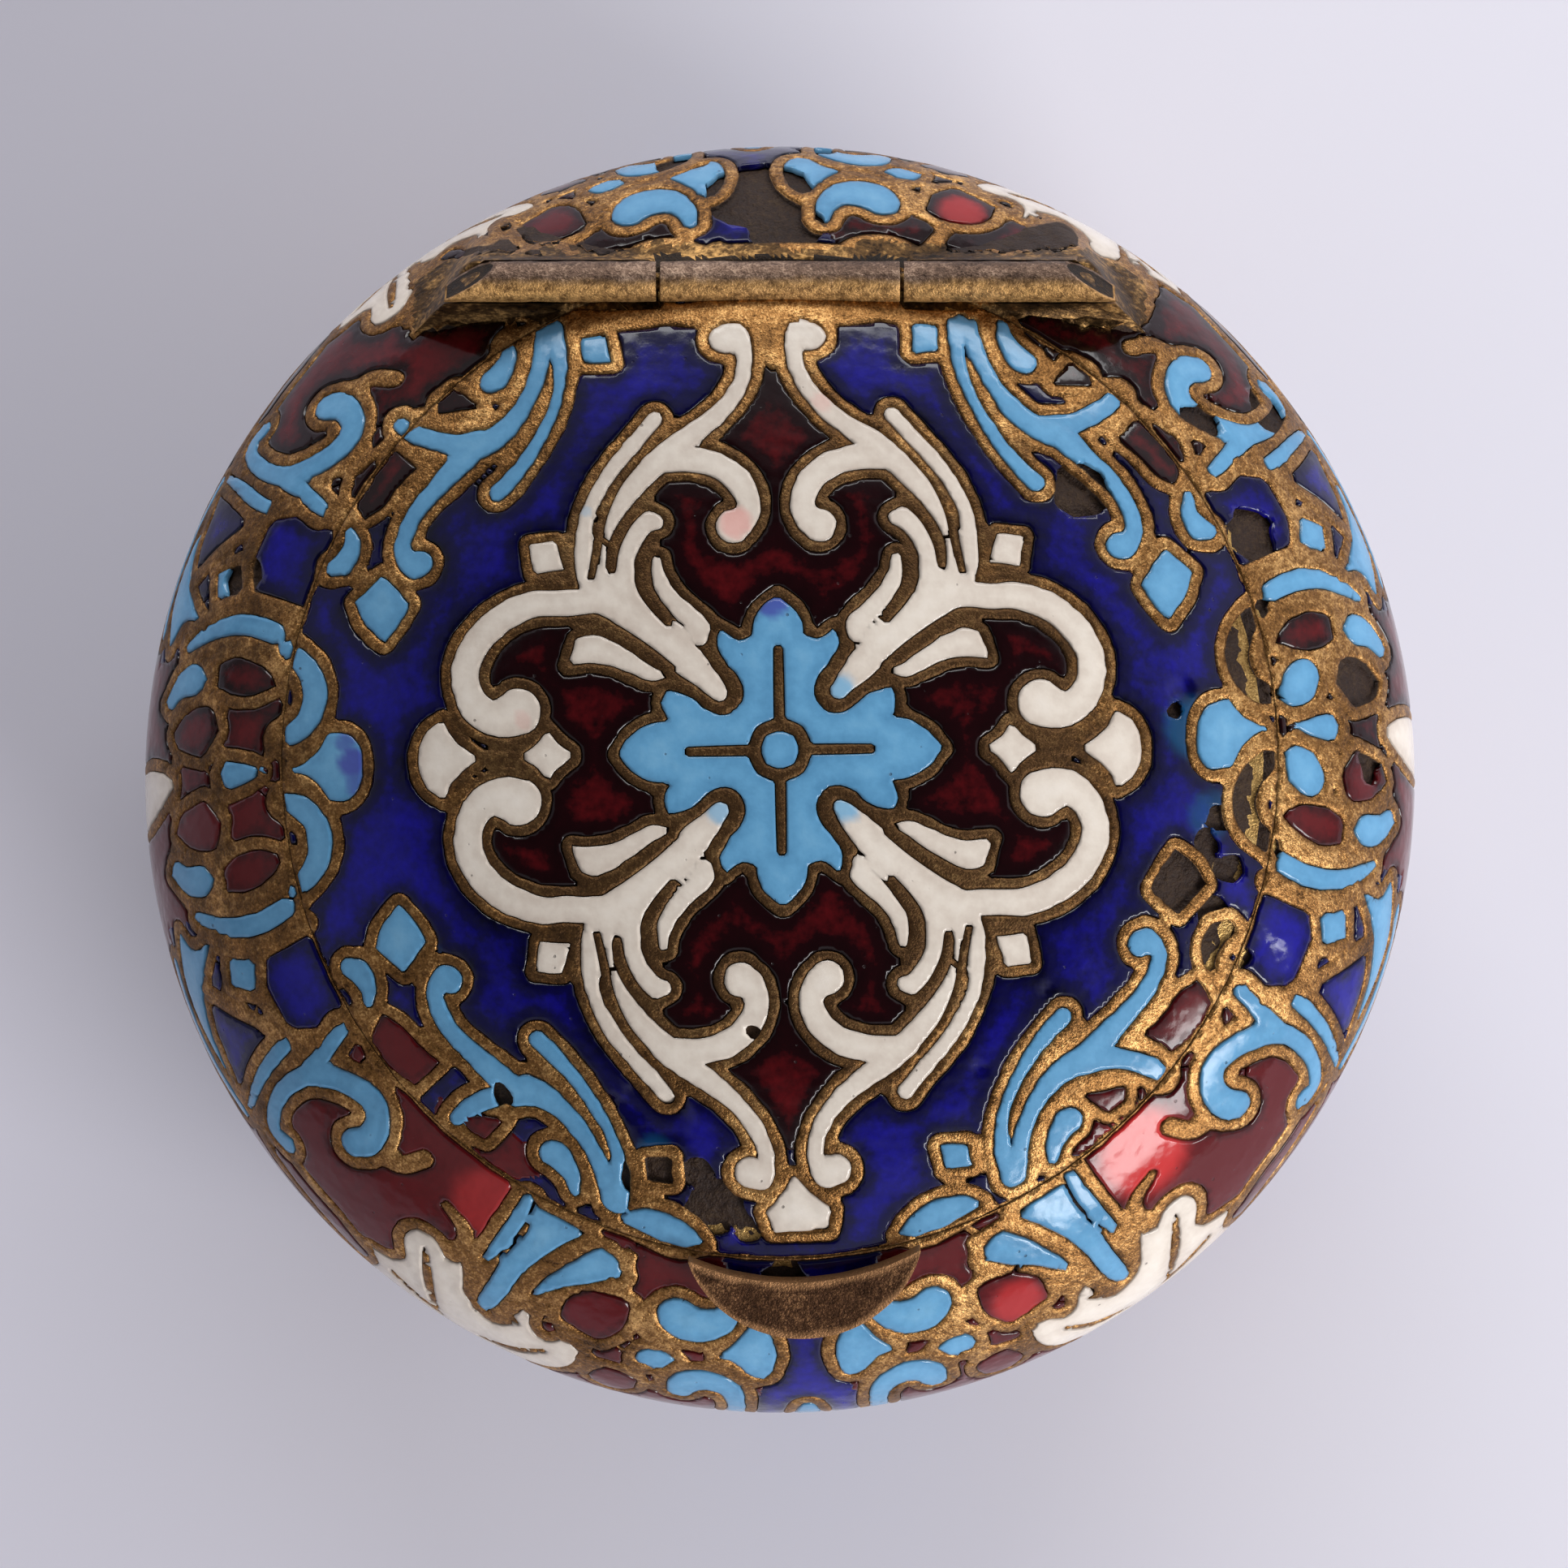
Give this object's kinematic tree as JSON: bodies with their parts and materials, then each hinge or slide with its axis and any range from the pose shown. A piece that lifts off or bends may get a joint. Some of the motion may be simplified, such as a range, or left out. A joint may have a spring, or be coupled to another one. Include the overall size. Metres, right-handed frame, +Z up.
{
  "type": "champlevé snuff box",
  "caption": "Round bun-shaped gilt metal snuff box with champlevé enamel scrollwork, a domed lid on a rear tube hinge and a crescent thumbpiece.",
  "frame": {"origin": "centre of the flat underside of the box", "axes": "+Z up through the middle of the lid, +Y towards the hinge, -Y towards the thumbpiece, +X to the right as seen from the thumbpiece"},
  "size_m": [0.05, 0.05, 0.0241],
  "materials": {
    "body_enamelled_metal": "gilt copper alloy with inlaid glass enamel in turquoise, dark blue, dark red and white, worn and chipped",
    "lid_enamelled_metal": "gilt copper alloy with inlaid glass enamel in turquoise, dark blue, dark red and white, worn and chipped",
    "hinge_metal": "worn gilding, brown in the hollows",
    "pin_metal": "dull and darkened",
    "thumbpiece_metal": "gilding rubbed away, coppery, with bright edges"
  },
  "bodies": {
    "box": {"box_body": "body_enamelled_metal", "hinge_tube_left": "hinge_metal", "hinge_tube_right": "hinge_metal", "hinge_pin": "pin_metal"},
    "lid": {"lid": "lid_enamelled_metal", "hinge_tube_middle": "hinge_metal", "thumbpiece": "thumbpiece_metal"}
  },
  "joints": [
    {"name": "lid_hinge", "type": "hinge", "parent": "box", "child": "lid", "pos_m": [0, 0.01855, 0.01992], "axis": [-1, 0, 0], "range_deg": [0, 105]}
  ]
}
